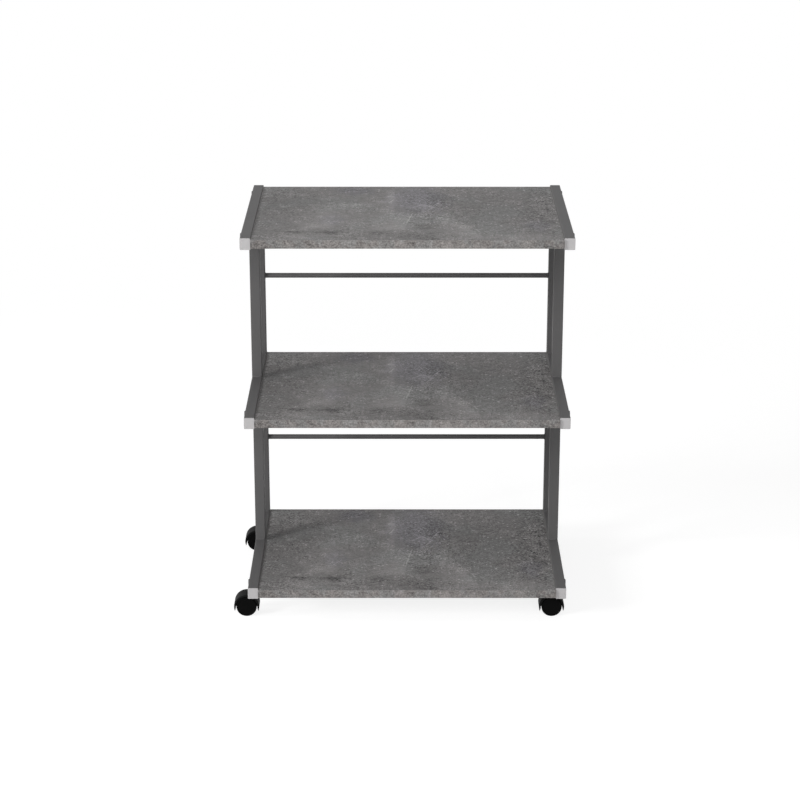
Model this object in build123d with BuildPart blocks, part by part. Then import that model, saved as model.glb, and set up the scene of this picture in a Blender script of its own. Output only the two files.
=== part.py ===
"""Mobile printer stand: two welded side frames, three boards, two crossbars and four twin-wheel castors.

Frame: millimetres, +X to the right, +Y to the back, +Z up, the floor at Z = 0. The origin is the middle of
the whole stand's footprint, with the castors turned so that their wheels trail to the left.
"""

from build123d import *
from math import cos, radians, sin
import os

os.makedirs("parts", exist_ok=True)

# ---------------------------------------------------------------- driving sizes
frame_width = 620.0          # outside to outside of the two side frames
tube_width = 20.0            # all tubes, across the stand
rail_height = 22.0           # rail section, upright
post_depth = 20.0            # post section, front to back
tube_wall = 1.2
tube_corner = 1.5            # outer corner radius of the tubes
rail_length = 425.0          # steel of a rail, without its caps
level_spacing = 351.0        # from one rail's top to the next
mid_post_setback = 249.5     # steel front end of a rail to the front face of the middle post

cap_face = 1.5               # thickness of an end cap's visible plate
cap_plug_depth = 12.0
cap_plug_wall = 1.6
cap_plug_clearance = 0.15
cap_barb = 0.1               # how far the plug's ribs stand out from its sides
cap_barb_width = 1.2
cap_edge = 0.6               # rounding of the plate's front edge

board_thickness = 16.0       # with its faces, between the rails
board_side_gap = 0.3         # seat between a board's end and a rail
board_recess = 2.5           # board's top below the rail's top
board_overhang = 4.0         # board's front edge ahead of the front caps' faces
board_rear_setback = 4.0     # board's rear edge ahead of the rear caps' faces
edging_thickness = 1.0
edging_round = 0.4

bolt_diameter = 6.0
bolt_head_diameter = 13.0
bolt_head_height = 2.4
bolt_head_round = 1.2
hex_key = 4.0                # across the flats of the bolt's socket
hex_key_depth = 1.6
bolt_clearance = 0.3         # radial, of the holes that the bolts pass through
thread_clearance = 0.05      # radial, of the holes that the bolts screw into
front_bolt_inset = 53.5      # from the steel's front end
rear_bolt_inset = 34.5       # from the steel's rear end
board_bolt_length = 60.0
barrel_nut_diameter = 10.0
barrel_nut_length = 12.0
barrel_nut_inset = 33.0      # from the board's end
barrel_nut_clearance = 0.1
barrel_nut_slot = 1.4        # width of its screwdriver slot
bolt_hole_past_end = 2.0     # room beyond the bolt's end

bar_diameter = 10.0
bar_collar_diameter = 11.6
bar_collar_length = 1.0
bar_collar_cone = 0.8
bar_bolt_length = 34.0

wheel_radius = 20.0
wheel_rim = 3.0              # thickness of the wheel's rim
wheel_face = 1.6             # thickness of the wheel's outer disc
wheel_face_recess = 0.8      # disc behind the rim's outer edge
wheel_land = 1.6             # width of the rim's bevelled edge
wheel_bevel = 1.1
wheel_hub_radius = 5.5
wheel_rib = 1.2
wheel_rib_count = 6
wheel_rib_setback = 2.4      # ribs behind the rim's inner edge
wheel_rib_root = 0.6         # how far a rib's ends reach into the hub and the rim
axle_diameter = 5.0
axle_clearance = 0.05        # radial, wheel on axle
axle_end_gap = 0.4           # axle's end to the bottom of the wheel's bore
axle_chamfer = 0.4

castor_width = 32.0          # along the axle
castor_web = 12.0            # housing between the wheels
castor_trail = 15.5          # swivel axis to axle
castor_inset = 45.5          # steel's end of a rail to the swivel axis
wheel_side_gap = 0.35        # wheel to web
hood_gap = 1.3               # wheel's tread to the inside of the hood
hood_wall = 3.5
hood_tip_angle = 22.0        # how far the hood's tips reach below the axle
hood_tip_slant = 16.0        # extra angle of the tip's inner corner
hood_round = 1.6
web_foot = 8.0               # web below the axle
swivel_boss_diameter = 16.0
swivel_boss_rise = 1.2       # boss above the top of the hood
swivel_washer_thickness = 0.8
swivel_gap = 0.3             # washer above the boss
stem_collar_height = 3.9
stem_collar_flats = 14.0
stem_diameter = 8.0
stem_clearance = 0.05        # radial, stem in the housing's socket
stem_socket_floor = 6.0      # socket's floor above the axle
stem_end_gap = 0.6           # stem's lower end above the socket's floor
stem_chamfer = 0.6
stem_past_nut = 1.5
nut_flats = 13.0
nut_height = 6.5
ring_thickness = 1.0
ring_height_above_floor = 3.6
ring_groove_depth = 0.7
ring_width = 1.2
ring_gap = 0.35              # ring to the groove in the housing
ring_opening = 40.0          # split of the ring, in degrees

# ---------------------------------------------------------------- heights
hood_inner = wheel_radius + hood_gap
hood_outer = hood_inner + hood_wall
boss_top = wheel_radius + hood_outer + swivel_boss_rise
washer_bottom = boss_top + swivel_gap
collar_bottom = washer_bottom + swivel_washer_thickness
rail_bottom = collar_bottom + stem_collar_height

levels = ("lower", "middle", "top")
rail_tops = {name: rail_bottom + rail_height + number * level_spacing for number, name in enumerate(levels)}
bays = {"lower": ("lower", "middle"), "upper": ("middle", "top")}

# ---------------------------------------------------------------- places in the plan
rail_reach = frame_width / 2 - tube_width / 2
left_reach = max(frame_width / 2 + bolt_head_height, rail_reach + castor_trail + hood_outer)
right_reach = max(frame_width / 2 + bolt_head_height, rail_reach - castor_trail + hood_outer)
middle_x = (left_reach - right_reach) / 2
rail_x = {"left": middle_x - rail_reach, "right": middle_x + rail_reach}
outward = {"left": -1, "right": 1}

board_depth = board_overhang + rail_length + 2 * cap_face - board_rear_setback
board_front = -max(board_depth, rail_length + 2 * cap_face + board_overhang) / 2
steel_front = board_front + board_overhang + cap_face
steel_rear = steel_front + rail_length
post_y = {
    "front": steel_front + mid_post_setback + post_depth / 2,
    "rear": steel_rear - post_depth / 2,
}
bolt_y = {"front": steel_front + front_bolt_inset, "rear": steel_rear - rear_bolt_inset}
castor_y = {"front": steel_front + castor_inset, "rear": steel_rear - castor_inset}

board_width = frame_width - 2 * tube_width - 2 * board_side_gap
board_middle_y = board_front + board_depth / 2
board_tops = {name: rail_tops[name] - board_recess for name in levels}
bolt_z = {name: board_tops[name] - board_thickness / 2 for name in levels}
bar_z = {bay: (rail_tops[low] + rail_tops[high] - rail_height) / 2 for bay, (low, high) in bays.items()}
inner_corner = max(tube_corner - tube_wall, 0.2)
bolt_hole = bolt_diameter / 2 + bolt_clearance
thread_hole = bolt_diameter / 2 + thread_clearance


def finish(part, name):
    """Label a finished piece and write it as the STEP file of that name."""
    part.label = name
    export_step(part, f"parts/{name}.step")


def tube_section(width, height):
    """Draw a hollow tube section, centred on the current location, in the sketch that is open."""
    RectangleRounded(width, height, tube_corner)
    RectangleRounded(width - 2 * tube_wall, height - 2 * tube_wall, inner_corner, mode=Mode.SUBTRACT)


# ---------------------------------------------------------------- rails
for level in levels:
    for side in rail_x:
        with BuildPart() as rail:
            with BuildSketch(Plane.XZ.offset(-steel_front)):
                with Locations((rail_x[side], rail_tops[level] - rail_height / 2)):
                    tube_section(tube_width, rail_height)
            extrude(amount=-rail_length)
            with BuildSketch(Plane.YZ.offset(rail_x[side])):
                with Locations(*[(y, bolt_z[level]) for y in bolt_y.values()]):
                    Circle(bolt_hole)
            extrude(amount=tube_width, both=True, mode=Mode.SUBTRACT)
            if level == "lower":
                with BuildSketch(Plane.XY.offset(rail_bottom)):
                    with Locations(*[(rail_x[side], y) for y in castor_y.values()]):
                        Circle(stem_diameter / 2 + bolt_clearance)
                extrude(amount=2 * tube_wall, mode=Mode.SUBTRACT)
        finish(rail.part, f"{level}_rail_{side}")

# ---------------------------------------------------------------- posts
for bay, (low, high) in bays.items():
    for place in post_y:
        for side in rail_x:
            with BuildPart() as post:
                with BuildSketch(Plane.XY.offset(rail_tops[low])):
                    with Locations((rail_x[side], post_y[place])):
                        tube_section(tube_width, post_depth)
                extrude(amount=level_spacing - rail_height)
                if place == "rear":
                    with BuildSketch(Plane.YZ.offset(rail_x[side])):
                        with Locations((post_y[place], bar_z[bay])):
                            Circle(bolt_hole)
                    extrude(amount=tube_width, both=True, mode=Mode.SUBTRACT)
            finish(post.part, f"{bay}_post_{place}_{side}")

# ---------------------------------------------------------------- end caps
plug_width = tube_width - 2 * tube_wall - 2 * cap_plug_clearance
plug_height = rail_height - 2 * tube_wall - 2 * cap_plug_clearance
barb_step = cap_plug_depth / 3
cap_places = {"front": (steel_front, -1), "rear": (steel_rear, 1)}

for end, (tube_end, way_out) in cap_places.items():
    for level in levels:
        for side in rail_x:
            centre = (rail_x[side], rail_tops[level] - rail_height / 2)
            with BuildPart() as cap:
                with BuildSketch(Plane.XZ.offset(-tube_end)):
                    with Locations(centre):
                        RectangleRounded(tube_width, rail_height, tube_corner)
                extrude(amount=-way_out * cap_face)
                outer_face = cap.faces().sort_by(Axis.Y)[-1 if way_out > 0 else 0]
                fillet(outer_face.edges(), cap_edge)
                with BuildSketch(Plane.XZ.offset(-tube_end)):
                    with Locations(centre):
                        RectangleRounded(plug_width, plug_height, inner_corner)
                        Rectangle(plug_width - 2 * cap_plug_wall, plug_height - 2 * cap_plug_wall,
                                  mode=Mode.SUBTRACT)
                extrude(amount=way_out * cap_plug_depth)
                for number in (1, 2):
                    barb_y = tube_end - way_out * number * barb_step
                    with BuildSketch(Plane.XZ.offset(-barb_y)):
                        with Locations(centre):
                            RectangleRounded(plug_width + 2 * cap_barb, plug_height + 2 * cap_barb, inner_corner)
                            Rectangle(plug_width - cap_plug_wall, plug_height - cap_plug_wall,
                                      mode=Mode.SUBTRACT)
                    extrude(amount=cap_barb_width / 2, both=True)
            finish(cap.part, f"{level}_cap_{end}_{side}")

# ---------------------------------------------------------------- boards and their edging
core_width = board_width - 2 * edging_thickness
core_depth = board_depth - 2 * edging_thickness
board_end = {side: middle_x + outward[side] * board_width / 2 for side in rail_x}
nut_x = {side: board_end[side] - outward[side] * barrel_nut_inset for side in rail_x}
bolt_reach = board_bolt_length - tube_width - board_side_gap + bolt_hole_past_end

for level in levels:
    board_bottom = board_tops[level] - board_thickness
    with BuildPart() as board:
        with BuildSketch(Plane.XY.offset(board_bottom)):
            with Locations((middle_x, board_middle_y)):
                Rectangle(core_width, core_depth)
        extrude(amount=board_thickness)
        for side in rail_x:
            with BuildSketch(Plane.YZ.offset(board_end[side])):
                with Locations(*[(y, bolt_z[level]) for y in bolt_y.values()]):
                    Circle(bolt_hole)
            extrude(amount=-outward[side] * bolt_reach, mode=Mode.SUBTRACT)
        with BuildSketch(Plane.XY.offset(board_bottom)):
            with Locations(*[(x, y) for x in nut_x.values() for y in bolt_y.values()]):
                Circle(barrel_nut_diameter / 2 + barrel_nut_clearance)
        extrude(amount=(board_thickness + barrel_nut_length) / 2, mode=Mode.SUBTRACT)
    finish(board.part, f"{level}_board")

    with BuildPart() as edging:
        with BuildSketch(Plane.XY.offset(board_bottom)):
            with Locations((middle_x, board_middle_y)):
                Rectangle(board_width, board_depth)
                Rectangle(core_width, core_depth, mode=Mode.SUBTRACT)
        extrude(amount=board_thickness)
        long_edges = edging.edges().filter_by(Axis.X).group_by(Axis.Y)
        fillet(long_edges[0] + long_edges[-1], edging_round)
        with BuildSketch(Plane.YZ.offset(middle_x)):
            with Locations(*[(y, bolt_z[level]) for y in bolt_y.values()]):
                Circle(bolt_hole)
        extrude(amount=board_width, both=True, mode=Mode.SUBTRACT)
    finish(edging.part, f"{level}_board_edging")

# ---------------------------------------------------------------- bolts, along +X with the head's seat at 0
def button_head_bolt(length):
    """Model a button-head bolt with a hexagon socket, lying along +X from its head's seat at the origin."""
    with BuildPart() as bolt:
        with BuildSketch(Plane.YZ):
            Circle(bolt_head_diameter / 2)
        extrude(amount=-bolt_head_height)
        fillet(bolt.faces().sort_by(Axis.X)[0].edges(), bolt_head_round)
        with BuildSketch(Plane.YZ):
            Circle(bolt_diameter / 2)
        extrude(amount=length)
        with BuildSketch(Plane.YZ.offset(-bolt_head_height)):
            RegularPolygon(hex_key / 2, 6, major_radius=False)
        extrude(amount=hex_key_depth, mode=Mode.SUBTRACT)
    return bolt.part


head_seat = {side: middle_x + outward[side] * frame_width / 2 for side in rail_x}
heading = {"left": 0, "right": 180}

board_bolt = button_head_bolt(board_bolt_length)
with BuildPart() as board_bolts:
    for level in levels:
        for side in rail_x:
            for y in bolt_y.values():
                with Locations(Location((head_seat[side], y, bolt_z[level]), (0, 0, heading[side]))):
                    add(board_bolt)
finish(board_bolts.part, "board_bolts")

bar_bolt = button_head_bolt(bar_bolt_length)
with BuildPart() as bar_bolts:
    for bay in bays:
        for side in rail_x:
            with Locations(Location((head_seat[side], post_y["rear"], bar_z[bay]), (0, 0, heading[side]))):
                add(bar_bolt)
finish(bar_bolts.part, "crossbar_bolts")

with BuildPart() as barrel_nut:
    with BuildSketch():
        Circle(barrel_nut_diameter / 2)
    extrude(amount=barrel_nut_length / 2, both=True)
    with BuildSketch(Plane.YZ):
        Circle(thread_hole)
    extrude(amount=barrel_nut_diameter, both=True, mode=Mode.SUBTRACT)
    with BuildSketch(Plane.XY.offset(-barrel_nut_length / 2)):
        Rectangle(barrel_nut_diameter, barrel_nut_slot)
    extrude(amount=barrel_nut_slot, mode=Mode.SUBTRACT)

with BuildPart() as barrel_nuts:
    with Locations(*[(x, y, z) for x in nut_x.values() for y in bolt_y.values() for z in bolt_z.values()]):
        add(barrel_nut.part)
finish(barrel_nuts.part, "barrel_nuts")

# ---------------------------------------------------------------- crossbars
bar_half = frame_width / 2 - tube_width
bar_thread_depth = bar_bolt_length - tube_width + bolt_hole_past_end

for bay in bays:
    bar_axis = Axis((0, post_y["rear"], bar_z[bay]), (1, 0, 0))
    with BuildPart() as bar:
        with BuildSketch(Plane.XZ.offset(-post_y["rear"])):
            with BuildLine():
                collar = bar_collar_diameter / 2
                rod = bar_diameter / 2
                neck = bar_half - bar_collar_length - bar_collar_cone
                Polyline(
                    (middle_x - bar_half, bar_z[bay]),
                    (middle_x - bar_half, bar_z[bay] + collar),
                    (middle_x - bar_half + bar_collar_length, bar_z[bay] + collar),
                    (middle_x - neck, bar_z[bay] + rod),
                    (middle_x + neck, bar_z[bay] + rod),
                    (middle_x + bar_half - bar_collar_length, bar_z[bay] + collar),
                    (middle_x + bar_half, bar_z[bay] + collar),
                    (middle_x + bar_half, bar_z[bay]),
                    close=True,
                )
            make_face()
        revolve(axis=bar_axis)
        for side in rail_x:
            with BuildSketch(Plane.YZ.offset(middle_x + outward[side] * bar_half)):
                with Locations((post_y["rear"], bar_z[bay])):
                    Circle(thread_hole)
            extrude(amount=-outward[side] * bar_thread_depth, mode=Mode.SUBTRACT)
    finish(bar.part, f"{bay}_crossbar")

# ---------------------------------------------------------------- castor hardware that stays with the frame
castor_spots = {(end, side): (rail_x[side], castor_y[end]) for end in castor_y for side in rail_x}
socket_floor_z = wheel_radius + stem_socket_floor
stem_bottom = socket_floor_z + stem_end_gap
ring_z = socket_floor_z + ring_height_above_floor
nut_bottom = rail_bottom + tube_wall
stem_top = nut_bottom + nut_height + stem_past_nut
groove_radius = stem_diameter / 2 - ring_groove_depth
ring_outer = groove_radius + ring_width

for (end, side), (x, y) in castor_spots.items():
    with BuildPart() as stem:
        with BuildSketch(Plane.XY.offset(stem_bottom)):
            with Locations((x, y)):
                Circle(stem_diameter / 2)
        extrude(amount=stem_top - stem_bottom)
        chamfer(stem.edges().filter_by(GeomType.CIRCLE), stem_chamfer)
        with BuildSketch(Plane.XY.offset(collar_bottom)):
            with Locations((x, y)):
                RegularPolygon(stem_collar_flats / 2, 6, major_radius=False)
        extrude(amount=stem_collar_height)
        with BuildSketch(Plane.XY.offset(ring_z)):
            with Locations((x, y)):
                Circle(stem_diameter)
                Circle(groove_radius, mode=Mode.SUBTRACT)
        extrude(amount=ring_thickness, mode=Mode.SUBTRACT)
    finish(stem.part, f"castor_stem_{end}_{side}")

with BuildPart() as castor_nuts:
    with BuildSketch(Plane.XY.offset(nut_bottom)):
        with Locations(*castor_spots.values()):
            RegularPolygon(nut_flats / 2, 6, major_radius=False)
            Circle(stem_diameter / 2 + thread_clearance, mode=Mode.SUBTRACT)
    extrude(amount=nut_height)
finish(castor_nuts.part, "castor_nuts")

with BuildPart() as swivel_washers:
    with BuildSketch(Plane.XY.offset(washer_bottom)):
        with Locations(*castor_spots.values()):
            Circle(stem_collar_flats / 2)
            Circle(stem_diameter / 2 + thread_clearance, mode=Mode.SUBTRACT)
    extrude(amount=swivel_washer_thickness)
finish(swivel_washers.part, "swivel_washers")

with BuildPart() as stem_rings:
    for x, y in castor_spots.values():
        with BuildSketch(Plane.XY.offset(ring_z)):
            with Locations((x, y)):
                Circle(ring_outer)
                Circle(groove_radius, mode=Mode.SUBTRACT)
            with BuildLine(Plane.XY.offset(ring_z)):
                half_split = radians(ring_opening / 2)
                Polyline(
                    (x, y),
                    (x + 2 * ring_outer * cos(half_split), y + 2 * ring_outer * sin(half_split)),
                    (x + 2 * ring_outer * cos(half_split), y - 2 * ring_outer * sin(half_split)),
                    close=True,
                )
            make_face(mode=Mode.SUBTRACT)
        extrude(amount=ring_thickness)
finish(stem_rings.part, "stem_rings")

# ---------------------------------------------------------------- castor housings, axles and wheels
wheel_inner_side = castor_web / 2 + wheel_side_gap
wheel_outer_side = castor_width / 2
face_outside = wheel_outer_side - wheel_face_recess
face_inside = face_outside - wheel_face
rim_inside = wheel_radius - wheel_rim
land_inside = wheel_radius - wheel_bevel - wheel_land
axle_bore = axle_diameter / 2 + axle_clearance
bore_bottom = face_inside - axle_end_gap / 2
axle_half = bore_bottom - axle_end_gap
tip_outer = radians(-hood_tip_angle)
tip_inner = radians(-hood_tip_angle + hood_tip_slant)

for (end, side), (x, y) in castor_spots.items():
    axle_x = x - castor_trail
    axle_line = Axis((axle_x, y, wheel_radius), (0, 1, 0))
    side_view = Plane(origin=(axle_x, y, wheel_radius), x_dir=(1, 0, 0), z_dir=(0, -1, 0))

    with BuildPart() as housing:
        with BuildSketch(side_view):
            Circle(hood_outer)
        extrude(amount=castor_width / 2, both=True)
        fillet(housing.edges().filter_by(GeomType.CIRCLE), hood_round)
        with BuildSketch(Plane.XY.offset(wheel_radius)):
            with Locations((x, y)):
                Circle(swivel_boss_diameter / 2)
        extrude(amount=boss_top - wheel_radius)
        for way in (-1, 1):
            with BuildSketch(side_view.offset(way * castor_web / 2)):
                Circle(hood_inner)
            extrude(amount=way * castor_width, mode=Mode.SUBTRACT)
        with BuildSketch(side_view):
            with BuildLine():
                far = 2 * hood_outer
                Polyline(
                    (0, -web_foot),
                    (hood_inner * cos(tip_inner), hood_inner * sin(tip_inner)),
                    (hood_outer * cos(tip_outer), hood_outer * sin(tip_outer)),
                    (far, -hood_outer),
                    (far, -far),
                    (-far, -far),
                    (-far, -hood_outer),
                    (-hood_outer * cos(tip_outer), hood_outer * sin(tip_outer)),
                    (-hood_inner * cos(tip_inner), hood_inner * sin(tip_inner)),
                    close=True,
                )
            make_face()
        extrude(amount=castor_width, both=True, mode=Mode.SUBTRACT)
        with BuildSketch(side_view):
            Circle(wheel_hub_radius)
        extrude(amount=castor_web / 2, both=True)
        with BuildSketch(side_view):
            Circle(axle_diameter / 2)
        extrude(amount=castor_width, both=True, mode=Mode.SUBTRACT)
        with BuildSketch(Plane.XY.offset(socket_floor_z)):
            with Locations((x, y)):
                Circle(stem_diameter / 2 + stem_clearance)
        extrude(amount=hood_outer, mode=Mode.SUBTRACT)
        with BuildSketch(Plane.XY.offset(ring_z - ring_gap)):
            with Locations((x, y)):
                Circle(ring_outer + ring_gap)
        extrude(amount=ring_thickness + 2 * ring_gap, mode=Mode.SUBTRACT)
    finish(housing.part, f"castor_housing_{end}_{side}")

    with BuildPart() as axle:
        with BuildSketch(side_view):
            Circle(axle_diameter / 2)
        extrude(amount=axle_half, both=True)
        chamfer(axle.edges().filter_by(GeomType.CIRCLE), axle_chamfer)
    finish(axle.part, f"castor_axle_{end}_{side}")

    for wheel_name, way in (("a", -1), ("b", 1)):
        with BuildPart() as wheel:
            with BuildSketch(Plane.YZ.offset(axle_x)):
                with BuildLine():
                    profile = [
                        (bore_bottom, 0),
                        (bore_bottom, axle_bore),
                        (wheel_inner_side, axle_bore),
                        (wheel_inner_side, wheel_hub_radius),
                        (face_inside, wheel_hub_radius),
                        (face_inside, rim_inside),
                        (wheel_inner_side, rim_inside),
                        (wheel_inner_side, wheel_radius),
                        (wheel_outer_side - wheel_bevel, wheel_radius),
                        (wheel_outer_side, wheel_radius - wheel_bevel),
                        (wheel_outer_side, land_inside),
                        (face_outside, land_inside - wheel_face_recess),
                        (face_outside, 0),
                    ]
                    Polyline(*[(y + way * along, wheel_radius + radius) for along, radius in profile], close=True)
                make_face()
            revolve(axis=axle_line)
            rib_start = wheel_inner_side + wheel_rib_setback
            rib_middle = (wheel_hub_radius + rim_inside) / 2
            with BuildSketch(side_view.offset(-way * rib_start)):
                with PolarLocations(rib_middle, wheel_rib_count):
                    Rectangle(rim_inside - wheel_hub_radius + 2 * wheel_rib_root, wheel_rib)
            extrude(amount=-way * (face_inside - rib_start))
        finish(wheel.part, f"castor_wheel_{end}_{side}_{wheel_name}")
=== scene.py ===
"""Dress the mobile printer stand: its finishes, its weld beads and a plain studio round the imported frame."""

from __future__ import annotations

import logging
import math
from dataclasses import dataclass, field
from enum import Enum
from typing import Any, Iterable, Mapping, Protocol, Union

import bmesh
import bpy
from mathutils import Matrix, Vector


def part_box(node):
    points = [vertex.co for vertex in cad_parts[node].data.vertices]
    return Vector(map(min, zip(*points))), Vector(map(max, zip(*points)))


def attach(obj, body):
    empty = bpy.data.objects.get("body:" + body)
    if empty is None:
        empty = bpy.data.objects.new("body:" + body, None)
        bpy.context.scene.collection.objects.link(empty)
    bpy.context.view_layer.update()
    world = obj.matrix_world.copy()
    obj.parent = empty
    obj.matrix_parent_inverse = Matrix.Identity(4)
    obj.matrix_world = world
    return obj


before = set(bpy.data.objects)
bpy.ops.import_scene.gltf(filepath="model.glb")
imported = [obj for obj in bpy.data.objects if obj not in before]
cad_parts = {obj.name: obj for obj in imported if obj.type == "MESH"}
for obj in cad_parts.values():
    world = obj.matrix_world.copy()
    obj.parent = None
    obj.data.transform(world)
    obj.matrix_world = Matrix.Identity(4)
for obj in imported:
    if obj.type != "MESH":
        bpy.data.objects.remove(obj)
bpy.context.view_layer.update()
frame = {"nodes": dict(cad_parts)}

log = logging.getLogger("printer_stand")

Colour = tuple[float, float, float]
Point = tuple[float, float, float]
Spot = tuple[float, float]


class Slot(str, Enum):
    """The record's material slots that new pieces belong to."""

    FRAME_PAINT = "frame_paint"


class Level(str, Enum):
    """The three levels of the stand."""

    LOWER = "lower"
    MIDDLE = "middle"
    TOP = "top"


class Bay(str, Enum):
    """The two bays between the levels."""

    LOWER = "lower"
    UPPER = "upper"


class End(str, Enum):
    """The stand's two ends, front to back."""

    FRONT = "front"
    REAR = "rear"


class Side(str, Enum):
    """The stand's two sides."""

    LEFT = "left"
    RIGHT = "right"


CORNERS = tuple(f"{end.value}_{side.value}" for end in End for side in Side)


# ------------------------------------------------------------------------------- shader maths
class Signal:
    """An output socket of one material's nodes, on which arithmetic adds Math nodes."""

    def __init__(self, sheet: "NodeSheet", socket: bpy.types.NodeSocket) -> None:
        """Wrap a socket.

        Args:
            sheet: The material's node sheet.
            socket: The output socket.
        """
        self.sheet = sheet
        self.socket = socket

    def __add__(self, other: "Operand") -> "Signal":
        """Return self + other."""
        return self.sheet.maths("ADD", self, other)

    def __radd__(self, other: "Operand") -> "Signal":
        """Return other + self."""
        return self.sheet.maths("ADD", other, self)

    def __sub__(self, other: "Operand") -> "Signal":
        """Return self - other."""
        return self.sheet.maths("SUBTRACT", self, other)

    def __rsub__(self, other: "Operand") -> "Signal":
        """Return other - self."""
        return self.sheet.maths("SUBTRACT", other, self)

    def __mul__(self, other: "Operand") -> "Signal":
        """Return self * other."""
        return self.sheet.maths("MULTIPLY", self, other)

    def __rmul__(self, other: "Operand") -> "Signal":
        """Return other * self."""
        return self.sheet.maths("MULTIPLY", other, self)

    def __mod__(self, other: "Operand") -> "Signal":
        """Return self modulo other, never below zero."""
        return self.sheet.maths("FLOORED_MODULO", self, other)

    def __abs__(self) -> "Signal":
        """Return the size of self."""
        return self.sheet.maths("ABSOLUTE", self)

    def rise(self, low: float, high: float) -> "Signal":
        """Return 0 below low, 1 above high and a smooth step between them.

        Args:
            low: Where the step starts.
            high: Where the step ends. If it is below low, the step falls.

        Returns:
            The step.
        """
        start, end, first, last = (low, high, 0.0, 1.0) if low < high else (high, low, 1.0, 0.0)
        node = self.sheet.add(
            "ShaderNodeMapRange",
            {"interpolation_type": "SMOOTHSTEP"},
            {"Value": self, "From Min": start, "From Max": end, "To Min": first, "To Max": last},
        )
        return Signal(self.sheet, node.outputs["Result"])


Operand = Union[Signal, float, int]


class NodeSheet:
    """The node tree of one material, world or floor, filled through one method."""

    def __init__(self, tree: bpy.types.NodeTree) -> None:
        """Empty the tree.

        Args:
            tree: The node tree to fill.
        """
        self.tree = tree
        tree.nodes.clear()

    @classmethod
    def of_material(cls, name: str) -> tuple[bpy.types.Material, "NodeSheet"]:
        """Make a material.

        Args:
            name: The material's name.

        Returns:
            The material and its node sheet.
        """
        material = bpy.data.materials.new(name)
        material.use_nodes = True
        return material, cls(material.node_tree)

    def add(
        self,
        kind: str,
        settings: Mapping[str, Any] | None = None,
        sockets: Mapping[str | int, Any] | None = None,
    ) -> bpy.types.Node:
        """Add a node.

        Args:
            kind: The node's type.
            settings: Its properties, set first.
            sockets: Values, signals or sockets for its inputs, by name or number.

        Returns:
            The node.
        """
        node = self.tree.nodes.new(kind)
        for key, value in (settings or {}).items():
            setattr(node, key, value)
        for key, value in (sockets or {}).items():
            self._feed(node.inputs[key], value)
        return node

    def _feed(self, socket: bpy.types.NodeSocket, value: Any) -> None:
        """Link a signal or a socket to an input, or set the input's value.

        Args:
            socket: The input.
            value: The signal, the socket or the value.
        """
        if isinstance(value, Signal):
            self.tree.links.new(value.socket, socket)
        elif isinstance(value, bpy.types.NodeSocket):
            self.tree.links.new(value, socket)
        elif socket.type == "RGBA" and len(value) == 3:
            socket.default_value = (*value, 1.0)
        else:
            socket.default_value = value

    def maths(self, operation: str, *terms: Operand) -> Signal:
        """Add a Math node.

        Args:
            operation: The Math node's operation.
            terms: Its inputs, in order.

        Returns:
            Its result.
        """
        node = self.add("ShaderNodeMath", {"operation": operation}, dict(enumerate(terms)))
        return Signal(self, node.outputs[0])

    def vector(self, operation: str, *terms: Any, output: str = "Vector") -> Signal:
        """Add a Vector Math node.

        Args:
            operation: The node's operation.
            terms: Its inputs, in order: signals or triples.
            output: The output that is wanted, Vector or Value.

        Returns:
            That output.
        """
        node = self.add("ShaderNodeVectorMath", {"operation": operation}, dict(enumerate(terms)))
        return Signal(self, node.outputs[output])

    def place(self, scale: Point = (1.0, 1.0, 1.0)) -> Signal:
        """Return the object coordinates in metres, scaled along each axis."""
        raw = self.add("ShaderNodeTexCoord").outputs["Object"]
        return self.vector("MULTIPLY", Signal(self, raw), scale)

    def parts(self, vector: Signal) -> tuple[Signal, Signal, Signal]:
        """Return the X, Y and Z of a vector."""
        node = self.add("ShaderNodeSeparateXYZ", None, {0: vector})
        return tuple(Signal(self, node.outputs[axis]) for axis in ("X", "Y", "Z"))

    def joined(self, x: Operand, y: Operand, z: Operand) -> Signal:
        """Return a vector from its X, Y and Z."""
        node = self.add("ShaderNodeCombineXYZ", None, {"X": x, "Y": y, "Z": z})
        return Signal(self, node.outputs["Vector"])

    def noise(
        self, where: Signal, scale: float, detail: float = 2.0, roughness: float = 0.5, swirl: float = 0.0
    ) -> Signal:
        """Return smooth noise about 0.5.

        Args:
            where: The coordinates that it is read at.
            scale: Features per metre.
            detail: Octaves added to the first.
            roughness: Weight of each octave against the last.
            swirl: How far the pattern is drawn into swirls.

        Returns:
            The noise.
        """
        node = self.add(
            "ShaderNodeTexNoise",
            None,
            {"Vector": where, "Scale": scale, "Detail": detail, "Roughness": roughness, "Distortion": swirl},
        )
        return Signal(self, node.outputs["Fac"])

    def warped(self, where: Signal, scale: float, reach: float) -> Signal:
        """Return coordinates that a noise pulls about, for a pattern with frayed shapes.

        Args:
            where: The coordinates.
            scale: Waves per metre.
            reach: How far they are pulled, in metres.

        Returns:
            The pulled coordinates.
        """
        node = self.add("ShaderNodeTexNoise", None, {"Vector": where, "Scale": scale, "Detail": 3.0})
        pull = self.vector("SUBTRACT", Signal(self, node.outputs["Color"]), (0.5, 0.5, 0.5))
        return self.vector("ADD", where, self.vector("MULTIPLY", pull, (reach, reach, 0.0)))

    def cells(self, where: Signal, scale: float) -> tuple[Signal, Signal]:
        """Scatter points, one to a cell, and find the nearest.

        Args:
            where: The coordinates that they are read at.
            scale: Cells per metre.

        Returns:
            The distance to the nearest point, in cells, and that point's own chance from 0 to 1.
        """
        node = self.add("ShaderNodeTexVoronoi", {"feature": "F1"}, {"Vector": where, "Scale": scale})
        chance = self.add("ShaderNodeSeparateColor", None, {0: node.outputs["Color"]})
        return Signal(self, node.outputs["Distance"]), Signal(self, chance.outputs["Red"])

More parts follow.
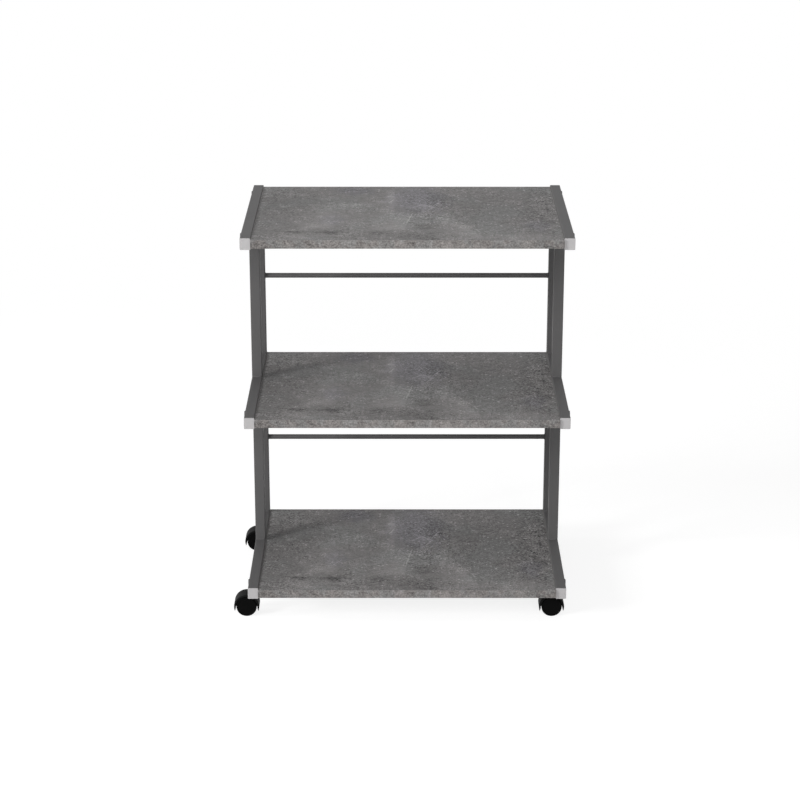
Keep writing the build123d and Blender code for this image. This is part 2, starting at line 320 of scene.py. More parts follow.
    def mixed(self, factor: Operand, first: Any, second: Any) -> Signal:
        """Return a colour between two colours."""
        node = self.add("ShaderNodeMix", {"data_type": "RGBA"}, {0: factor, 6: first, 7: second})
        return Signal(self, node.outputs[2])

    def toned(self, colour: Any, tone: Signal) -> Signal:
        """Return a colour made lighter or darker by a tone about 1."""
        node = self.add("ShaderNodeVectorMath", {"operation": "SCALE"}, {0: colour, "Scale": tone})
        return Signal(self, node.outputs["Vector"])

    def relief(self, height: Signal, depth: float) -> Signal:
        """Return a normal raised by a height of 0 to 1, where a height of 1 is that depth in metres."""
        node = self.add("ShaderNodeBump", None, {"Strength": 1.0, "Distance": depth, "Height": height})
        return Signal(self, node.outputs["Normal"])

    def surface(self, **sockets: Any) -> None:
        """End the sheet with a Principled shader.

        Args:
            sockets: Its inputs by name, with _ for a space.
        """
        named = {key.replace("_", " "): value for key, value in sockets.items()}
        shader = self.add("ShaderNodeBsdfPrincipled", None, named)
        self.add("ShaderNodeOutputMaterial", None, {"Surface": shader.outputs["BSDF"]})


# ------------------------------------------------------------------------------- finishes
class Finish(Protocol):
    """What a piece is dressed in."""

    name: str

    def paint(self) -> bpy.types.Material:
        """Build the finish's material."""


@dataclass(frozen=True)
class Grain:
    """One noise of a finish, and how much of it goes into the tone, the roughness and the relief."""

    scale: float
    detail: float = 2.0
    roughness: float = 0.5
    swirl: float = 0.0
    tone: float = 0.0
    matt: float = 0.0
    height: float = 0.0

    def on(self, sheet: NodeSheet, where: Signal) -> Signal:
        """Return the noise, about 0.5, at the coordinates."""
        return sheet.noise(where, self.scale, self.detail, self.roughness, self.swirl)


@dataclass(frozen=True)
class Areas:
    """The areas of a finish where a noise is high: they begin at sparse and are full at dense."""

    noise: Grain
    sparse: float
    dense: float

    def mask(self, sheet: NodeSheet, where: Signal) -> Signal:
        """Return 1 in the areas and 0 outside them."""
        return self.noise.on(sheet, where).rise(self.sparse, self.dense)


def swayed(level: Operand, *sways: tuple[float, Signal]) -> Operand:
    """Sway a level by noises about 0.5.

    Args:
        level: The level without noise.
        sways: Pairs of a weight and a noise.

    Returns:
        The swayed level.
    """
    for weight, noise in sways:
        level = level + weight * (noise - 0.5)
    return level


@dataclass(frozen=True)
class PowderCoat:
    """Anthracite powder coat on steel: even colour, a fine orange peel and soft sheen."""

    name: str = "anthracite_powder_coat"
    colour: Colour = (0.1005, 0.0985, 0.0990)
    roughness: float = 0.56
    gloss: float = 0.12
    peel_depth: float = 0.00005
    film: Grain = Grain(9.0, detail=3.0, tone=0.07, matt=0.10)
    peel: Grain = Grain(620.0, roughness=0.45, tone=0.10, height=0.75)
    pinholes: Grain = Grain(2300.0, detail=1.0, tone=0.10, matt=0.12, height=0.25)

    def paint(self) -> bpy.types.Material:
        """Build the coat's material.

        Returns:
            The material.
        """
        material, sheet = NodeSheet.of_material(self.name)
        where = sheet.place()
        film = self.film.on(sheet, where)
        peel = self.peel.on(sheet, where)
        pinholes = self.pinholes.on(sheet, where)
        tone = swayed(1.0, (self.film.tone, film), (self.peel.tone, peel), (self.pinholes.tone, pinholes))
        height = peel * self.peel.height + pinholes * self.pinholes.height
        sheet.surface(
            Base_Color=sheet.toned(self.colour, tone),
            Roughness=swayed(self.roughness, (self.film.matt, film), (self.pinholes.matt, pinholes)),
            Specular_IOR_Level=self.gloss,
            Normal=sheet.relief(height, self.peel_depth),
        )
        return material


@dataclass(frozen=True)
class CapPlastic:
    """Light grey moulded plastic with a spark-eroded skin."""

    name: str = "light_grey_cap_plastic"
    colour: Colour = (0.420, 0.411, 0.414)
    roughness: float = 0.48
    gloss: float = 0.2
    skin_depth: float = 0.00003
    flow: Grain = Grain(60.0, swirl=0.8, tone=0.05)
    skin: Grain = Grain(1500.0, roughness=0.6, tone=0.05, matt=0.15)

    def paint(self) -> bpy.types.Material:
        """Build the plastic's material.

        Returns:
            The material.
        """
        material, sheet = NodeSheet.of_material(self.name)
        where = sheet.place()
        flow = self.flow.on(sheet, where)
        skin = self.skin.on(sheet, where)
        tone = swayed(1.0, (self.flow.tone, flow), (self.skin.tone, skin))
        sheet.surface(
            Base_Color=sheet.toned(self.colour, tone),
            Roughness=swayed(self.roughness, (self.skin.matt, skin)),
            Specular_IOR_Level=self.gloss,
            Normal=sheet.relief(skin, self.skin_depth),
        )
        return material


@dataclass(frozen=True)
class Patch:
    """A soft lighter or darker oval on the board: mostly a patch of the decor's print, and along the board's
    ends painted shade beside the rails.

    The fray is how much the noise wears the oval's edge, and the rim and the core are where the patch
    ends and where it is full, as shares of its reach.
    """

    centre: Spot
    reach: Spot
    strength: float
    fray: float = 1.3
    rim: float = 1.05
    core: float = 0.25

    def mask(self, sheet: NodeSheet, where: Signal, wobble: Signal) -> Signal:
        """Return 1 in the patch's middle and 0 outside it.

        Args:
            sheet: The material's node sheet.
            where: The coordinates on the board.
            wobble: Noise that frays the patch's edge.

        Returns:
            The mask.
        """
        offset = sheet.vector("SUBTRACT", where, (*self.centre, 0.0))
        oval = sheet.vector("MULTIPLY", offset, (1.0 / self.reach[0], 1.0 / self.reach[1], 0.0))
        away = sheet.vector("LENGTH", oval, output="Value")
        return swayed(away, (self.fray, wobble)).rise(self.rim, self.core)


@dataclass(frozen=True)
class Stroke:
    """A straight trowel stroke of the decor, from one end to the other."""

    start: Spot
    end: Spot

    @property
    def length(self) -> float:
        """Return the stroke's length."""
        return (Vector(self.end) - Vector(self.start)).length

    def offsets(self, sheet: NodeSheet, where: Signal) -> tuple[Signal, Signal]:
        """Measure from the stroke's middle.

        Args:
            sheet: The material's node sheet.
            where: The coordinates on the board.

        Returns:
            The distances along the stroke and to the left of it.
        """
        along = (Vector(self.end) - Vector(self.start)).normalized()
        middle = (Vector(self.start) + Vector(self.end)) / 2
        offset = sheet.vector("SUBTRACT", where, (middle.x, middle.y, 0.0))
        forward = sheet.vector("DOT_PRODUCT", offset, (along.x, along.y, 0.0), output="Value")
        leftward = sheet.vector("DOT_PRODUCT", offset, (-along.y, along.x, 0.0), output="Value")
        return forward, leftward


@dataclass(frozen=True)
class Scratch(Stroke):
    """A thin light trowel mark of the decor, which a noise bends a little."""

    width: float
    strength: float
    bend: float = 0.006

    def mask(self, sheet: NodeSheet, where: Signal, wobble: Signal) -> Signal:
        """Return 1 on the mark and 0 beside it.

        Args:
            sheet: The material's node sheet.
            where: The coordinates on the board.
            wobble: Noise that bends the mark.

        Returns:
            The mask.
        """
        forward, leftward = self.offsets(sheet, where)
        line = abs(swayed(leftward, (self.bend, wobble))).rise(self.width, 0.0)
        return line * abs(forward).rise(self.length / 2, self.length / 4)


@dataclass(frozen=True)
class Sweep(Stroke):
    """A trowel sweep of the decor: crisp along one edge and fading to the left of it.

    The crisp edge's ends and the shares of the fade and the length, at which the sweep is gone or full,
    are the same for every sweep.
    """

    fade: float
    strength: float
    bend: float = 0.016
    edge_start: float = -0.001
    edge_end: float = 0.004
    fade_full: float = 0.20
    length_gone: float = 0.60
    length_full: float = 0.36

    def mask(self, sheet: NodeSheet, where: Signal, wobble: Signal) -> Signal:
        """Return 1 beside the edge and 0 beyond it and farther off.

        Args:
            sheet: The material's node sheet.
            where: The coordinates on the board.
            wobble: Noise that bends the edge.

        Returns:
            The mask.
        """
        forward, leftward = self.offsets(sheet, where)
        bent = swayed(leftward, (self.bend, wobble))
        band = bent.rise(self.edge_start, self.edge_end) * bent.rise(self.fade, self.fade_full * self.fade)
        return band * abs(forward).rise(self.length_gone * self.length, self.length_full * self.length)


@dataclass(frozen=True)
class Flecks:
    """Small light chips scattered over the decor, one to a cell where the cell's chance is high enough.

    The edge and the core are where a chip ends and where it is full, in cells from its middle. Chances
    up to rare bring no chip, and chances from sure on bring a full one.
    """

    scale: float
    edge: float
    core: float
    rare: float
    sure: float
    light: float

    def shed(self, sheet: NodeSheet, where: Signal, favour: Operand = 0.0) -> Signal:
        """Return the chips' light.

        Args:
            sheet: The material's node sheet.
            where: The coordinates on the board.
            favour: What is added to every chance.

        Returns:
            The light.
        """
        near, chance = sheet.cells(where, self.scale)
        return self.light * near.rise(self.edge, self.core) * (chance + favour).rise(self.rare, self.sure)


@dataclass(frozen=True)
class Veins:
    """Fine light lines that follow a noise's middle level, kept to some areas."""

    path: Grain
    width: float
    areas: Areas
    light: float

    def shed(self, sheet: NodeSheet, where: Signal) -> Signal:
        """Return the veins' light.

        Args:
            sheet: The material's node sheet.
            where: The coordinates on the board.

        Returns:
            The light.
        """
        line = abs(self.path.on(sheet, where) - 0.5).rise(self.width, 0.0)
        return self.light * line * self.areas.mask(sheet, where)


@dataclass(frozen=True)
class Chipboard:
    """Bare chipboard, as drilled holes show it."""

    colour: Colour = (0.33, 0.23, 0.14)
    chip_scale: float = 900.0
    darkest: float = 0.75
    chance_tone: float = 0.5
    chip_tone: float = 0.2

    def colour_on(self, sheet: NodeSheet) -> Signal:
        """Return the chips' colours.

        Args:
            sheet: The material's node sheet.

        Returns:
            The colour.
        """
        chips, chance = sheet.cells(sheet.place(), self.chip_scale)
        return sheet.toned(self.colour, self.darkest + self.chance_tone * chance + self.chip_tone * chips)


@dataclass(frozen=True)
class ConcreteDecor:
    """Melamine with a printed concrete decor on chipboard, the same print on every board, with painted shade
    along the board's ends beside the rails.
    """

    name: str = "concrete_decor_board"
    colour: Colour = (0.1758, 0.1691, 0.1674)
    cool: Colour = (0.1719, 0.1704, 0.1684)
    violet: Colour = (0.1719, 0.1665, 0.1768)
    chipboard: Chipboard = Chipboard()
    roughness: float = 0.55
    gloss: float = 0.12
    pore_depth: float = 0.00006
    face_slope: float = 0.6
    wall_slope: float = 0.4
    warp_scale: float = 30.0
    warp_reach: float = 0.045
    wobble: Grain = Grain(60.0, detail=4.0, roughness=0.6)
    cloud: Grain = Grain(6.5, tone=0.20)
    drift: Grain = Grain(17.0, detail=4.0, roughness=0.6, swirl=0.8, tone=0.50, matt=0.25)
    mottle: Grain = Grain(75.0, detail=3.0, roughness=0.65, tone=0.36)
    grain: Grain = Grain(190.0, detail=4.0, roughness=0.75, tone=1.0, matt=0.20, height=0.6)
    grit: Grain = Grain(560.0, detail=1.0, tone=0.55, height=0.4)
    smooth_print: float = 2.0
    rougher_print: float = 1.5
    rough_areas: Areas = Areas(Grain(12.0), sparse=0.44, dense=0.58)
    cool_areas: Areas = Areas(Grain(8.0), sparse=0.46, dense=0.62)
    specks: Flecks = Flecks(scale=120.0, edge=0.32, core=0.10, rare=0.86, sure=0.94, light=1.30)
    more_specks: float = 0.24
    more_specks_from: float = -0.10
    more_specks_to: float = 0.18
    chips: Flecks = Flecks(scale=300.0, edge=0.42, core=0.15, rare=0.70, sure=0.85, light=0.16)
    trowel_lines: Veins = Veins(
        path=Grain(21.0, detail=3.0, roughness=0.55, swirl=1.4),
        width=0.008,
        areas=Areas(Grain(26.0, detail=1.0), sparse=0.54, dense=0.64),
        light=0.70,
    )
    curls: Veins = Veins(
        path=Grain(66.0, swirl=2.2),
        width=0.030,
        areas=Areas(Grain(31.0, detail=1.0), sparse=0.50, dense=0.62),
        light=1.10,
    )
    patches: tuple[Patch, ...] = (
        Patch((-0.060, -0.050), (0.190, 0.150), 0.10),
        Patch((-0.018, -0.080), (0.060, 0.090), 0.12),
        Patch((-0.012, 0.110), (0.020, 0.080), 0.22),
        Patch((-0.150, -0.080), (0.050, 0.080), 0.07),
        Patch((-0.095, 0.050), (0.065, 0.040), 0.10),
        Patch((0.125, -0.160), (0.060, 0.100), 0.14),
        Patch((0.045, 0.042), (0.036, 0.028), 0.24),
        Patch((0.225, -0.195), (0.090, 0.040), 0.20),
        Patch((-0.200, -0.190), (0.100, 0.030), 0.16),
        Patch((-0.128, -0.155), (0.030, 0.024), -0.28),
        Patch((-0.042, -0.167), (0.032, 0.022), -0.30),
        Patch((0.030, -0.186), (0.060, 0.036), -0.24),
        Patch((0.045, -0.112), (0.028, 0.034), -0.26),
        Patch((0.076, 0.115), (0.036, 0.080), -0.26),
        Patch((0.024, 0.004), (0.020, 0.036), -0.24),
        Patch((-0.058, 0.010), (0.020, 0.040), -0.16),
        Patch((-0.073, 0.082), (0.045, 0.014), -0.16),
        Patch((-0.095, 0.180), (0.060, 0.045), -0.18),
        Patch((-0.205, 0.090), (0.110, 0.130), -0.16),
        Patch((0.180, 0.030), (0.130, 0.220), -0.17),
        # These four darken the board beside its right and left rails and at its right rear corner by the rear
        # post: painted shade.
        Patch((0.262, -0.060), (0.050, 0.160), -0.10),
        Patch((-0.265, -0.020), (0.085, 0.300), -0.15),
        Patch((0.290, 0.020), (0.070, 0.300), -0.15),
        Patch((0.290, 0.170), (0.070, 0.080), -0.10),
    )
    rough_patches: tuple[Patch, ...] = (
        Patch((0.060, 0.080), (0.070, 0.160), 2.0),
        Patch((0.050, -0.060), (0.050, 0.090), 1.3),
        Patch((0.275, 0.000), (0.060, 0.260), 1.8),
        Patch((-0.240, 0.170), (0.070, 0.060), 1.2),
        Patch((-0.060, -0.170), (0.160, 0.050), 0.9),
        Patch((-0.210, -0.185), (0.090, 0.035), 0.9),
    )
    sweeps: tuple[Sweep, ...] = (
        Sweep((0.162, -0.204), (0.092, -0.027), 0.050, 0.25),
        Sweep((0.096, -0.204), (0.091, -0.060), 0.014, 0.12),
        Sweep((0.010, -0.135), (0.024, -0.020), 0.060, 0.18),
        Sweep((-0.125, -0.125), (-0.122, 0.070), 0.060, 0.14),
        Sweep((-0.055, -0.143), (0.012, -0.140), 0.060, 0.18),
        Sweep((-0.010, -0.030), (-0.008, 0.185), 0.032, 0.24),
        Sweep((-0.190, -0.130), (-0.125, -0.124), 0.060, 0.16),
        Sweep((-0.028, 0.094), (-0.128, 0.072), 0.050, 0.14),
        Sweep((-0.112, -0.151), (-0.232, -0.146), 0.020, -0.34),
        Sweep((-0.160, -0.196), (-0.235, -0.168), 0.022, 0.20),
    )
    violet_patches: tuple[Patch, ...] = (
        Patch((0.035, 0.100), (0.080, 0.160), 1.0),
        Patch((-0.095, 0.175), (0.055, 0.045), 0.9),
        Patch((-0.130, -0.060), (0.030, 0.060), 0.6),
        Patch((0.260, -0.110), (0.030, 0.050), 0.7),
    )
    scratches: tuple[Scratch, ...] = (
        Scratch((0.027, 0.003), (0.010, -0.104), 0.0022, 0.95),
        Scratch((0.067, 0.054), (0.084, 0.093), 0.0020, 1.10),
        Scratch((-0.073, -0.080), (-0.065, -0.101), 0.0018, 0.90),
        Scratch((0.088, -0.026), (0.154, -0.158), 0.0024, 0.50),
        Scratch((-0.210, 0.115), (-0.248, 0.170), 0.0020, 0.70),
        Scratch((-0.023, 0.070), (-0.011, 0.105), 0.0022, 1.00),
        Scratch((0.020, 0.032), (0.046, 0.061), 0.0028, 0.80),
        Scratch((0.042, 0.061), (0.069, 0.038), 0.0028, 0.80),
        Scratch((0.068, 0.044), (0.051, 0.008), 0.0026, 0.70),
    )

    def paint(self) -> bpy.types.Material:
        """Build the decor's material.

        Returns:
            The material.
        """
        material, sheet = NodeSheet.of_material(self.name)
        where = sheet.place(scale=(1.0, 1.0, 0.0))
        drawn = sheet.warped(where, self.warp_scale, self.warp_reach)
        wobble = self.wobble.on(sheet, where)
        drift = self.drift.on(sheet, where)
        mottle = self.mottle.on(sheet, where)
        grain = self.grain.on(sheet, where)
        grit = self.grit.on(sheet, where)
        rough = self.smooth_print + self.rougher_print * self.rough_areas.mask(sheet, where)
        for patch in self.rough_patches:
            rough = rough + patch.strength * patch.mask(sheet, drawn, wobble)
        tone = swayed(1.0, (self.cloud.tone, self.cloud.on(sheet, where)), (self.drift.tone, drift))
        texture = swayed(0.0, (self.mottle.tone, mottle), (self.grain.tone, grain), (self.grit.tone, grit))
        tone = tone + rough * texture
        # Patches of the decor's print, and painted shade along the board's ends beside the rails.
        for patch in self.patches:
            tone = tone + patch.strength * patch.mask(sheet, drawn, wobble)
        for stroke in (*self.sweeps, *self.scratches):
            tone = tone + stroke.strength * stroke.mask(sheet, where, wobble)
        rightward = sheet.parts(where)[0].rise(self.more_specks_from, self.more_specks_to)
        tone = tone + self.specks.shed(sheet, where, self.more_specks * rightward)
        tone = tone + rough * self.chips.shed(sheet, where)
        tone = tone + self.trowel_lines.shed(sheet, where) + self.curls.shed(sheet, where)
        hue = sheet.mixed(self.cool_areas.mask(sheet, where), self.colour, self.cool)
        for patch in self.violet_patches:
            hue = sheet.mixed(patch.strength * patch.mask(sheet, drawn, wobble), hue, self.violet)
        print_colour = sheet.toned(hue, tone)
        sheet.surface(
            Base_Color=sheet.mixed(self._walls(sheet), print_colour, self.chipboard.colour_on(sheet)),
            Roughness=swayed(self.roughness, (self.drift.matt, drift), (self.grain.matt, grain)),
            Specular_IOR_Level=self.gloss,
            Normal=sheet.relief(grain * self.grain.height + grit * self.grit.height, self.pore_depth),
        )
        return material

    def _walls(self, sheet: NodeSheet) -> Signal:
        """Return 1 on upright walls, which only the drilled holes show, and 0 on the board's faces."""
        facing = sheet.add("ShaderNodeNewGeometry").outputs["True Normal"]
        return abs(sheet.parts(Signal(sheet, facing))[2]).rise(self.face_slope, self.wall_slope)


@dataclass(frozen=True)
class ConcreteEdging:
    """Edging with a coarser and warmer concrete print, a painted highlight along its top arris and painted
    light in the middle of each edge, darker towards its ends.
    """

    top: float
    pitch: float
    middle: float
    name: str = "concrete_decor_edging"
    warm: Colour = (0.1840, 0.1724, 0.1662)
    cool: Colour = (0.1768, 0.1722, 0.1688)
    roughness: float = 0.5
    gloss: float = 0.12
    pore_depth: float = 0.00006
    cloud: Grain = Grain(7.0, tone=0.20)
    drift: Grain = Grain(24.0, detail=3.0, roughness=0.6, tone=0.80)
    mottle: Grain = Grain(90.0, detail=3.0, roughness=0.6, tone=0.95)
    grain: Grain = Grain(300.0, roughness=0.65, tone=2.40, matt=0.20, height=0.6)
    grit: Grain = Grain(800.0, detail=1.0, tone=1.0, height=0.4)
    cool_areas: Areas = Areas(Grain(45.0), sparse=0.42, dense=0.58)
    # Painted light: a lighter middle of each edge; and a painted highlight along its top arris.
    painted_middle_light: float = 0.10
    painted_light_reach: float = 0.27
    painted_light_core: float = 0.05
    painted_arris_highlight: float = 0.14
    painted_highlight_depth: float = 0.0016
    painted_highlight_core: float = 0.0004

    def paint(self) -> bpy.types.Material:
        """Build the edging's material.

        Returns:
            The material.
        """
        material, sheet = NodeSheet.of_material(self.name)
        x, y, z = sheet.parts(sheet.place())
        below = (self.top - z) % self.pitch
        where = sheet.joined(x, y, below)
        grain = self.grain.on(sheet, where)
        grit = self.grit.on(sheet, where)
        tone = swayed(
            1.0,
            (self.cloud.tone, self.cloud.on(sheet, where)),
            (self.drift.tone, self.drift.on(sheet, where)),
            (self.mottle.tone, self.mottle.on(sheet, where)),
            (self.grain.tone, grain),
            (self.grit.tone, grit),
        )
        # Painted light: the edge is lighter in its middle and falls to its plain tone towards the caps at its
        # ends.
        tone = tone + self.painted_middle_light * abs(x - self.middle).rise(self.painted_light_reach, self.painted_light_core)
        # Painted highlight: a lighter strip along the edge's top arris, just under the board's top face.
        tone = tone + self.painted_arris_highlight * below.rise(self.painted_highlight_depth, self.painted_highlight_core)
        hue = sheet.mixed(self.cool_areas.mask(sheet, where), self.warm, self.cool)
        sheet.surface(
            Base_Color=sheet.toned(hue, tone),
            Roughness=swayed(self.roughness, (self.grain.matt, grain)),
            Specular_IOR_Level=self.gloss,
            Normal=sheet.relief(grain * self.grain.height + grit * self.grit.height, self.pore_depth),
        )
        return material


@dataclass(frozen=True)
class BlackPlastic:
    """Black moulded plastic: a nearly even black with a fine matt skin."""

    name: str
    colour: Colour
    roughness: float
    gloss: float
    skin_depth: float = 0.00004
    scuff: Grain = Grain(85.0, detail=4.0, roughness=0.7, swirl=0.5, tone=0.5, matt=0.20, height=0.3)
    skin: Grain = Grain(1300.0, roughness=0.6, tone=0.4, matt=0.15, height=0.7)

    def paint(self) -> bpy.types.Material:
        """Build the plastic's material.

        Returns:
            The material.
        """
        material, sheet = NodeSheet.of_material(self.name)
        where = sheet.place()
        scuff = self.scuff.on(sheet, where)
        skin = self.skin.on(sheet, where)
        tone = swayed(1.0, (self.scuff.tone, scuff), (self.skin.tone, skin))
        sheet.surface(
            Base_Color=sheet.toned(self.colour, tone),
            Roughness=swayed(self.roughness, (self.scuff.matt, scuff), (self.skin.matt, skin)),
            Specular_IOR_Level=self.gloss,
            Normal=sheet.relief(skin * self.skin.height + scuff * self.scuff.height, self.skin_depth),
        )
        return material


@dataclass(frozen=True)
class PlatedSteel:
    """Turned or stamped steel with a thin plating or oxide skin."""

    name: str
    colour: Colour
    stain: Colour
    roughness: float
    metal: float
    brush_depth: float = 0.00002
    brush_stretch: Point = (0.12, 1.0, 1.0)
    stain_sparse: float = 0.48
    stain_dense: float = 0.72
    bloom: Grain = Grain(130.0, detail=3.0, roughness=0.6, matt=0.25)
    brush: Grain = Grain(2400.0, roughness=0.6, tone=0.18, matt=0.20)

    def paint(self) -> bpy.types.Material:
        """Build the plating's material.

        Returns:
            The material.
        """
        material, sheet = NodeSheet.of_material(self.name)
        bloom = self.bloom.on(sheet, sheet.place())
        brush = self.brush.on(sheet, sheet.place(scale=self.brush_stretch))
        hue = sheet.mixed(bloom.rise(self.stain_sparse, self.stain_dense), self.colour, self.stain)
        sheet.surface(
            Base_Color=sheet.toned(hue, swayed(1.0, (self.brush.tone, brush))),
            Metallic=self.metal,
            Roughness=swayed(self.roughness, (self.bloom.matt, bloom), (self.brush.matt, brush)),
            Normal=sheet.relief(brush, self.brush_depth),
        )
        return material


# ------------------------------------------------------------------------------- the work bench
class Wardrobe:
    """Paints each finish once and dresses pieces in it."""

    def __init__(self, nodes: Mapping[str, bpy.types.Object]) -> None:
        """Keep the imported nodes.

        Args:
            nodes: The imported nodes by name.
        """
        self.nodes = nodes
        self._painted: dict[str, bpy.types.Material] = {}

    def material(self, finish: Finish) -> bpy.types.Material:
        """Return a finish's material, painted at its first use.

        Args:
            finish: The finish.

        Returns:
            The material.
        """
        if finish.name not in self._painted:
            self._painted[finish.name] = finish.paint()
            log.info("finish %s", finish.name)
        return self._painted[finish.name]

    def dress(self, names: Iterable[str], finish: Finish) -> None:
        """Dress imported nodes.

        Args:
            names: The nodes' names.
            finish: What they are dressed in.
        """
        material = self.material(finish)
        for name in names:
            node = self.nodes[name]
            for slot in node.material_slots:
                slot.material = material
            log.info("node %s wears %s", name, finish.name)

    def dress_piece(self, piece: bpy.types.Object, finish: Finish) -> None:
        """Dress a new piece.

        Args:
            piece: The piece.
            finish: What it is dressed in.
        """
        piece.data.materials.clear()
        piece.data.materials.append(self.material(finish))


class Bench:
    """Hand tools for new pieces: a clean selection, cuts and copies with a mesh of their own."""

    @staticmethod
    def clear() -> None:
        """Deselect everything."""
        if bpy.context.object is not None and bpy.context.object.mode != "OBJECT":
            bpy.ops.object.mode_set(mode="OBJECT")
        bpy.ops.object.select_all(action="DESELECT")

    @staticmethod
    def edit(piece: bpy.types.Object) -> bmesh.types.BMesh:
        """Open a piece in edit mode with nothing selected.

        Args:
            piece: The piece.

        Returns:
            Its edit mesh.
        """
        bpy.context.view_layer.objects.active = piece
        piece.select_set(True)
        bpy.ops.object.mode_set(mode="EDIT")
        bpy.ops.mesh.select_all(action="DESELECT")
        return bmesh.from_edit_mesh(piece.data)

    @staticmethod
    def cut(point: Point, normal: Point, clear: bool = False) -> None:
        """Cut the open mesh by a plane.

        Args:
            point: A point of the plane.
            normal: The plane's normal.
            clear: Whether the side that the normal points away from is cut off and closed.
        """
        bpy.ops.mesh.select_all(action="SELECT")
        bpy.ops.mesh.bisect(plane_co=point, plane_no=normal, use_fill=clear, clear_inner=clear)

    @staticmethod
    def copy(piece: bpy.types.Object, name: str, move: Matrix) -> bpy.types.Object:
        """Copy a piece with a mesh of its own.

        Args:
            piece: The piece.
            name: The copy's name.
            move: Where the copy's mesh goes.

        Returns:
            The copy, whose object sits at the origin.
        """
        twin = bpy.data.objects.new(name, piece.data.copy())
        twin.data.name = name
        twin.data.transform(move)
        bpy.context.scene.collection.objects.link(twin)
        return twin

    @classmethod
    def join(cls, pieces: list[bpy.types.Object], name: str) -> bpy.types.Object:
        """Join pieces into one.

        Args:
            pieces: The pieces.
            name: The joined piece's name.

        Returns:
            The joined piece.
        """
        cls.clear()
        for piece in pieces:
            piece.select_set(True)
        bpy.context.view_layer.objects.active = pieces[0]
        bpy.ops.object.join()
        joined = bpy.context.object
        joined.name = name
        joined.data.name = name
        cls.clear()
        return joined


# ------------------------------------------------------------------------------- sub-assemblies
@dataclass
class SideFrames:
    """The two welded side frames: rails, posts and the fillet welds at the posts' ends."""

    wardrobe: Wardrobe
    coat: PowderCoat = field(default_factory=PowderCoat)
    weld_leg: float = 0.0018
    weld_length: float = 0.0165
    weld_ripples: int = 12
    weld_ripple_swell: float = 1.14
    weld_end_swell: float = 0.7
    weld_corners: int = 20
    weld_sharp_angle: float = 50.0

    def build(self) -> None:
        """Dress the tubes and lay the welds."""
        rails = [f"{level.value}_rail_{side.value}" for level in Level for side in Side]
        posts = [f"{bay.value}_post_{corner}" for bay in Bay for corner in CORNERS]
        self.wardrobe.dress(rails + posts, self.coat)
        bead = self._bead()
        for post in posts:
            self._weld_post(bead, post)
        bpy.data.objects.remove(bead)

    def _bead(self) -> bpy.types.Object:
        """Model one rippled fillet bead along X, in the corner of a wall behind it and a floor below it.

        Returns:
            The bead, with the corner's line on the X axis.
        """
        Bench.clear()
        bpy.ops.mesh.primitive_cylinder_add(
            vertices=self.weld_corners,
            radius=self.weld_leg,
            depth=self.weld_length,
            rotation=(0.0, math.pi / 2, 0.0),
        )
        bead = bpy.context.object
        bpy.ops.object.transform_apply(location=False, rotation=True, scale=False)
        Bench.edit(bead)
        step = self.weld_length / self.weld_ripples
        start = -self.weld_length / 2
        for number in range(1, self.weld_ripples):
            Bench.cut((start + number * step, 0.0, 0.0), (1.0, 0.0, 0.0))
        for number in range(self.weld_ripples + 1):
            swell = self.weld_ripple_swell if number % 2 else 1.0
            if number in (0, self.weld_ripples):
                swell = self.weld_end_swell
            mesh = bmesh.from_edit_mesh(bead.data)
            for vertex in mesh.verts:
                vertex.select_set(abs(vertex.co.x - (start + number * step)) < step / 4)
            mesh.select_flush(True)
            bmesh.update_edit_mesh(bead.data)
            bpy.ops.transform.resize(value=(1.0, swell, swell), center_override=(0.0, 0.0, 0.0))
            bpy.ops.mesh.select_all(action="DESELECT")
        bpy.ops.object.mode_set(mode="OBJECT")
        smoother = bead.modifiers.new("ripples", "SUBSURF")
        smoother.levels = smoother.render_levels = 1
        bpy.ops.object.modifier_apply(modifier=smoother.name)
        Bench.edit(bead)
        Bench.cut((0.0, 0.0, 0.0), (0.0, 0.0, 1.0), clear=True)
        Bench.cut((0.0, 0.0, 0.0), (0.0, -1.0, 0.0), clear=True)
        bpy.ops.mesh.select_all(action="SELECT")
        bpy.ops.mesh.normals_make_consistent(inside=False)
        bpy.ops.object.mode_set(mode="OBJECT")
        bpy.ops.object.shade_smooth_by_angle(angle=math.radians(self.weld_sharp_angle))
        Bench.clear()
        return bead

    def _weld_post(self, bead: bpy.types.Object, post: str) -> None:
        """Lay the four beads of one post: before and behind it, at its foot and at its head.

        Args:
            bead: The bead to copy.
            post: The post's node.
        """
        low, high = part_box(post)
        middle = (low.x + high.x) / 2
        corners = {
            "foot_front": (low.y, low.z, Matrix.Identity(4)),
            "foot_back": (high.y, low.z, Matrix.Rotation(math.pi, 4, "Z")),
            "head_front": (low.y, high.z, Matrix.Rotation(math.pi, 4, "Y")),
            "head_back": (high.y, high.z, Matrix.Rotation(math.pi, 4, "X")),
        }
        beads = [
            Bench.copy(bead, f"{post}_{corner}", Matrix.Translation((middle, y, z)) @ turn)
            for corner, (y, z, turn) in corners.items()
        ]
        welds = Bench.join(beads, f"{post}_welds")
        self.wardrobe.dress_piece(welds, self.coat)
        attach(welds, "stand")
        log.info("piece %s", welds.name)


@dataclass
class EndCaps:
    """The twelve light grey caps in the rails' ends."""

    wardrobe: Wardrobe
    plastic: CapPlastic = field(default_factory=CapPlastic)

    def build(self) -> None:
        """Dress the caps."""
        names = [f"{level.value}_cap_{corner}" for level in Level for corner in CORNERS]
        self.wardrobe.dress(names, self.plastic)


